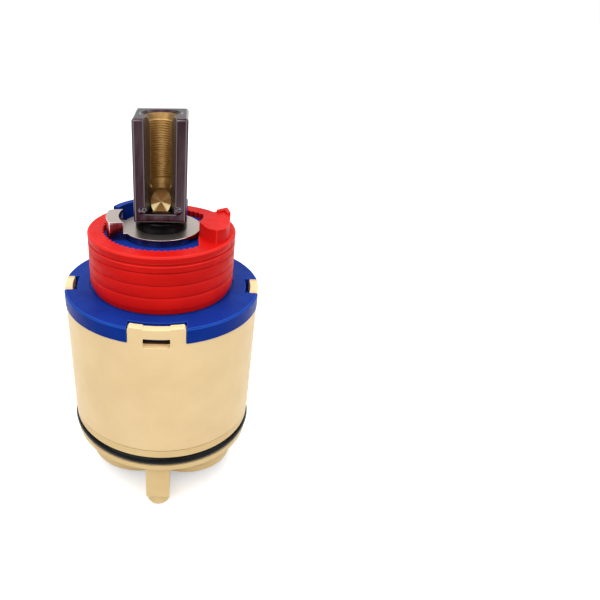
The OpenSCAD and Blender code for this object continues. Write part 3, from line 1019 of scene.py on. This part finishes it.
    def pocket(self) -> None:
        """Makes the leaning conical pocket that a drill left in the slot's foot."""
        mesh = bmesh.new()
        bmesh.ops.create_cone(
            mesh,
            cap_ends=False,
            segments=64,
            radius1=self.pocket_r,
            radius2=self.pocket_tip,
            depth=self.pocket_depth,
        )
        leaning = (
            Matrix.Translation((0, self.pocket_y, self.pocket_z))
            @ Matrix.Rotation(math.pi + self.pocket_lean, 4, "X")
            @ Matrix.Diagonal((1, self.pocket_length / self.pocket_r, 1, 1))
            @ Matrix.Translation((0, 0, -self.pocket_depth / 2))
        )
        bmesh.ops.transform(mesh, matrix=leaning, verts=mesh.verts)
        bmesh.ops.recalc_face_normals(mesh, faces=mesh.faces)
        bmesh.ops.solidify(mesh, geom=mesh.faces, thickness=self.pocket_wall)
        pocket = finished_object(mesh, "stem_pocket", (DRILLED_BRASS,))
        place(pocket, Body.STEM, Slot.PLATING)

    def beads(self) -> None:
        """Makes the two beads of plating that gathered beside the slot's lower corners."""
        mesh = bmesh.new()
        for side in (-1, 1):
            sphere = bmesh.ops.create_uvsphere(mesh, u_segments=32, v_segments=16, radius=self.bead_r)
            bead = sphere["verts"]
            bmesh.ops.scale(mesh, vec=(1, self.bead_proud / self.bead_r, 1), verts=bead)
            bmesh.ops.translate(mesh, vec=(side * self.bead_x, -self.square / 2, self.bead_z), verts=bead)
        beads = finished_object(mesh, "stem_beads", (BEADED_PLATING,))
        place(beads, Body.STEM, Slot.PLATING)

    def disc(self) -> None:
        """Makes the stop disc: satin above, plated on its edge and on the tab's sides."""
        mesh = ease(merged_copy("stop_disc"), self.disc_easing)
        for face in mesh.faces:
            if face.normal.z > self.near_level:
                face.material_index = DISC_FINISHES.index(SATIN_STEEL)
        disc = finished_object(mesh, "stop_disc_plate", DISC_FINISHES)
        place(disc, Body.STEM, Slot.DISC, "stop_disc")


@dataclass
class LimitRing:
    """Red limit ring with its ribs, its splined bore and the hot-limit block."""

    top_z: float = 64.7 * MM
    band_h: float = 3.0 * MM
    groove_r: float = 16.92 * MM
    groove_cut: float = 0.14 * MM
    slack: float = 0.03 * MM
    block_x: float = 10.0 * MM
    block_h: float = 1.0 * MM
    nose_y: float = -9.0 * MM
    easing: Easing = Easing(width=0.16 * MM)

    def build(self) -> None:
        """Makes the ring."""
        mesh = merged_copy("limit_ring")
        self.deepen_grooves(mesh)
        self.soften_block(mesh)
        ring = finished_object(ease(mesh, self.easing), "limit_ring_moulding", (RED_NYLON,))
        place(ring, Body.RING, Slot.RING, "limit_ring")

    def deepen_grooves(self, mesh: bmesh.types.BMesh) -> None:
        """Cuts the grooves between the ribs deeper, so that each rib casts its line of shade.

        Args:
            mesh: The ring's mesh.
        """
        for vert in mesh.verts:
            radius = math.hypot(vert.co.x, vert.co.y)
            if abs(radius - self.groove_r) < self.slack and vert.co.z < self.top_z - self.band_h:
                share = (self.groove_r - self.groove_cut) / radius
                vert.co.x *= share
                vert.co.y *= share

    def soften_block(self, mesh: bmesh.types.BMesh) -> None:
        """Marks the block's upright corners round, but not the foremost, so that its sides shade as curves.

        Args:
            mesh: The ring's mesh.
        """
        kind = mesh.edges.layers.int.new(CORNER_KIND)
        for edge in mesh.edges:
            low, high = sorted(vert.co.z for vert in edge.verts)
            upright = high - low > self.block_h and high > self.top_z + self.block_h
            outer = min(vert.co.x for vert in edge.verts) > self.block_x
            nose = max(vert.co.y for vert in edge.verts) < self.nose_y
            if upright and outer and not nose:
                edge[kind] = Corner.ROUND


@dataclass
class Shell:
    """The fixed mouldings: blue cover, cream housing and cream base."""

    seam_z: float = 16.85 * MM
    seam_gap: float = 0.14 * MM
    slack: float = 0.02 * MM
    wall_in: float = 21.5 * MM
    wall_out: float = 23.2 * MM
    window_z: float = 47.7 * MM
    window_h: float = 1.05 * MM
    window_foot: float = 0.15 * MM
    lip_reach: float = 3.0 * MM
    lip_share: float = 0.45
    lip_h: float = 0.2 * MM
    easing: Easing = Easing(width=0.14 * MM)

    def build(self) -> None:
        """Makes the three mouldings."""
        self.cover()
        self.base()
        self.housing()

    def cover(self) -> None:
        """Makes the blue cover."""
        mesh = ease(merged_copy("cover"), self.easing)
        cover = finished_object(mesh, "cover_moulding", (BLUE_ACETAL,))
        place(cover, Body.FIXED, Slot.COVER, "cover")

    def base(self) -> None:
        """Makes the base, whose recess ends in narrow tips that an unclamped bevel would fold."""
        mesh = ease(merged_copy("base"), replace(self.easing, clamped=True))
        # The base's acetal is darker than the housing's, as painted shade
        base = finished_object(mesh, "base_moulding", (PAINTED_SHADE_BASE_ACETAL,))
        place(base, Body.FIXED, Slot.HOUSING, "base")

    def housing(self) -> None:
        """Makes the housing, with an open seam above the base."""
        mesh = merged_copy("housing")
        for vert in mesh.verts:
            if abs(vert.co.z - self.seam_z) < self.slack:
                vert.co.z += self.seam_gap
        self.shorten_lips(mesh)
        self.paint_window_shade(mesh)
        housing = finished_object(ease(mesh, self.easing), "housing_moulding", HOUSING_FINISHES)
        place(housing, Body.FIXED, Slot.HOUSING, "housing")

    def shorten_lips(self, mesh: bmesh.types.BMesh) -> None:
        """Shortens the slanted lips under the snap tabs' windows.

        Args:
            mesh: The housing's mesh.
        """
        for vert in mesh.verts:
            below = self.window_z - vert.co.z
            if self.lip_h < below < self.lip_reach and math.hypot(vert.co.x, vert.co.y) > self.wall_in:
                vert.co.z = self.window_z - max(below * self.lip_share, self.lip_h)

    def paint_window_shade(self, mesh: bmesh.types.BMesh) -> None:
        """Paints shade on the inside of the snap tabs' windows, as a dark acetal finish on their faces.

        Args:
            mesh: The housing's mesh.
        """
        foot = self.window_z - self.window_foot
        bmesh.ops.bisect_plane(
            mesh,
            geom=list(mesh.verts) + list(mesh.edges) + list(mesh.faces),
            plane_co=(0, 0, foot),
            plane_no=(0, 0, 1),
        )
        for face in mesh.faces:
            centre = face.calc_center_median()
            in_wall = self.wall_in < math.hypot(centre.x, centre.y) < self.wall_out
            # Painted shade: faces inside the windows take the dark acetal
            if in_wall and foot < centre.z < self.window_z + self.window_h:
                face.material_index = HOUSING_FINISHES.index(PAINTED_SHADE_WINDOW_ACETAL)


@dataclass
class Seals:
    """Rubber seals on the outside and between the fixed pieces."""

    nodes: tuple[str, ...] = (
        "main_seal", "port_seal_left", "port_seal_right", "cover_seal", "disc_seals", "sleeve_seals"
    )

    def build(self) -> None:
        """Dresses the seals."""
        for node in self.nodes:
            dress_node(node, BLACK_RUBBER)


@dataclass
class BalanceUnit:
    """Spool, sleeve and domed caps of the pressure balance."""

    easing: Easing = Easing(width=0.1 * MM)

    def build(self) -> None:
        """Dresses the spool and its sleeve, and makes the caps."""
        dress_node("balance_sleeve", TURNED_STEEL)
        dress_node("balance_spool", TURNED_STEEL)
        for node in ("balance_cap_left", "balance_cap_right"):
            mesh = ease(merged_copy(node), self.easing)
            cap = finished_object(mesh, node + "_moulding", (CREAM_ACETAL,))
            place(cap, Body.FIXED, Slot.HOUSING, node)


@dataclass
class InnerStack:
    """Fixed ceramic disc and glide washer inside the housing."""

    def build(self) -> None:
        """Dresses the stack's fixed pieces."""
        dress_node("fixed_disc", LAPPED_CERAMIC)
        dress_node("glide_washer", GLASS_FILLED_NYLON)


# STUDIO


@dataclass(frozen=True)
class Softbox:
    """Square area light that faces a point of the cartridge."""

    name: str
    spot: tuple[float, float, float]
    size: float
    watts: float

    def build(self, target: Vector) -> None:
        """Adds the light.

        Args:
            target: Point that it faces.
        """
        data = bpy.data.lights.new(self.name, "AREA")
        data.shape = "SQUARE"
        data.size = self.size
        data.energy = self.watts
        light = bpy.data.objects.new(self.name, data)
        light.location = self.spot
        light.rotation_euler = (target - light.location).to_track_quat("-Z", "Y").to_euler()
        bpy.context.scene.collection.objects.link(light)


@dataclass
class Studio:
    """White floor, soft light and the camera at the photograph's angle."""

    # Floor and surround
    floor_z: float = -3.5 * MM
    floor_r: float = 2.5
    white: str = "#ffffff"
    paper_colour: str = "#f3f3f3"
    bounce_colour: str = "#6f6c69"
    bounce_glow: float = 0.08
    seen_level: float = 1.02
    surround_level: float = 0.76
    # Softboxes and the height of the point that they face
    softboxes: tuple[Softbox, ...] = (
        Softbox("key_softbox", (-0.45, -0.6, 0.8), 1.0, 7.4),
        Softbox("fill_softbox", (0.7, -0.45, 0.4), 0.9, 3.3),
        Softbox("top_softbox", (0.0, 0.15, 1.0), 1.0, 6.0),
    )
    target_z: float = 40 * MM
    # Camera, fitted to the circles of the photograph's upright view
    focal_px: float = 557.99
    picture_px: float = 600.0
    centre_px: tuple[float, float] = (161.6, 344.11)
    sensor_mm: float = 36.0
    nearest: float = 5 * MM
    distance: float = 122.69 * MM
    seat_z: float = 51.1 * MM
    over_seat: float = 60.32 * MM
    pitch: float = math.radians(32.65)
    turn: float = math.radians(2.76)
    roll: float = math.radians(-0.12)

    def build(self) -> None:
        """Makes the camera, the floor, the world and the lights."""
        self.camera()
        self.floor()
        self.world()
        for softbox in self.softboxes:
            softbox.build(Vector((0.0, 0.0, self.target_z)))
        bpy.context.scene.view_settings.view_transform = "Standard"

    def camera(self) -> None:
        """Makes the camera from the photograph's focal length, centre and angle."""
        data = bpy.data.cameras.new("camera")
        data.sensor_width = self.sensor_mm
        data.lens = self.focal_px / self.picture_px * self.sensor_mm
        data.shift_x = (self.picture_px / 2 - self.centre_px[0]) / self.picture_px
        data.shift_y = (self.centre_px[1] - self.picture_px / 2) / self.picture_px
        data.clip_start = self.nearest
        camera = bpy.data.objects.new("camera", data)
        away = Matrix.Translation((0.0, -self.distance, self.over_seat + self.seat_z))
        tilt = Matrix.Rotation(math.pi / 2 - self.pitch, 4, "X")
        camera.matrix_world = (
            Matrix.Rotation(self.turn, 4, "Z") @ away @ tilt @ Matrix.Rotation(self.roll, 4, "Z")
        )
        bpy.context.scene.collection.objects.link(camera)
        bpy.context.scene.camera = camera

    def floor(self) -> None:
        """Makes the floor, a wide sheet of paper."""
        mesh = bmesh.new()
        bmesh.ops.create_circle(mesh, cap_ends=True, segments=96, radius=self.floor_r)
        bmesh.ops.translate(mesh, vec=(0, 0, self.floor_z), verts=mesh.verts)
        data = bpy.data.meshes.new("floor")
        mesh.to_mesh(data)
        mesh.free()
        data.materials.append(self.paper())
        floor = bpy.data.objects.new("floor", data)
        bpy.context.scene.collection.objects.link(floor)

    def paper(self) -> bpy.types.Material:
        """Makes the paper: white with the shadow where it is seen, dull to other rays, clear from below.

        Returns:
            The material.
        """
        material = bpy.data.materials.new("floor_paper")
        material.use_nodes = True
        tree = material.node_tree
        tree.nodes.clear()
        paper = linear(self.paper_colour)
        rest = self.seen_level - paper[0] * self.surround_level
        white = add_node(tree, "BsdfDiffuse", {"Color": paper})
        lift = add_node(tree, "Emission", {"Color": linear(self.white), "Strength": rest})
        seen = add_node(tree, "AddShader", {0: white.outputs[0], 1: lift.outputs[0]})
        dull = add_node(tree, "BsdfDiffuse", {"Color": linear(self.bounce_colour)})
        glow = add_node(tree, "Emission", {"Color": linear(self.white), "Strength": self.bounce_glow})
        bounced = add_node(tree, "AddShader", {0: dull.outputs[0], 1: glow.outputs[0]})
        above = add_node(
            tree, "MixShader", {0: self.seen_ray(tree), 1: bounced.outputs[0], 2: seen.outputs[0]}
        )
        side = add_node(tree, "NewGeometry")
        clear = add_node(tree, "BsdfTransparent")
        sided = add_node(
            tree, "MixShader", {0: side.outputs["Backfacing"], 1: above.outputs[0], 2: clear.outputs[0]}
        )
        add_node(tree, "OutputMaterial", {"Surface": sided.outputs[0]})
        return material

    def seen_ray(self, tree: bpy.types.NodeTree) -> bpy.types.NodeSocket:
        """Adds a value that is 1 for rays from the camera, reflections and transmission.

        Args:
            tree: Tree of the floor or of the world.

        Returns:
            The value.
        """
        path = add_node(tree, "LightPath")
        either = add_node(
            tree,
            "Math",
            {0: path.outputs["Is Camera Ray"], 1: path.outputs["Is Glossy Ray"]},
            operation="MAXIMUM",
        )
        any_of_three = add_node(
            tree, "Math", {0: either.outputs[0], 1: path.outputs["Is Transmission Ray"]}, operation="MAXIMUM"
        )
        return any_of_three.outputs[0]

    def world(self) -> None:
        """Makes the white surround: even for the light, plain white where it is seen."""
        world = bpy.data.worlds.new("surround")
        world.use_nodes = True
        tree = world.node_tree
        tree.nodes.clear()
        light, seen = (
            add_node(tree, "Background", {"Color": linear(self.white), "Strength": strength})
            for strength in (self.surround_level, 1.0)
        )
        mixed = add_node(tree, "MixShader", {0: self.seen_ray(tree), 1: light.outputs[0], 2: seen.outputs[0]})
        add_node(tree, "OutputWorld", {"Surface": mixed.outputs[0]})
        bpy.context.scene.world = world


def main() -> None:
    """Builds the studio and each sub-assembly."""
    logging.basicConfig(level=logging.INFO, format="%(name)s: %(message)s")
    parts: tuple[Callable[[], None], ...] = (
        Studio().build,
        Stem().build,
        LimitRing().build,
        Shell().build,
        Seals().build,
        BalanceUnit().build,
        InnerStack().build,
    )
    for build in parts:
        build()


if __name__ == "__main__":
    main()
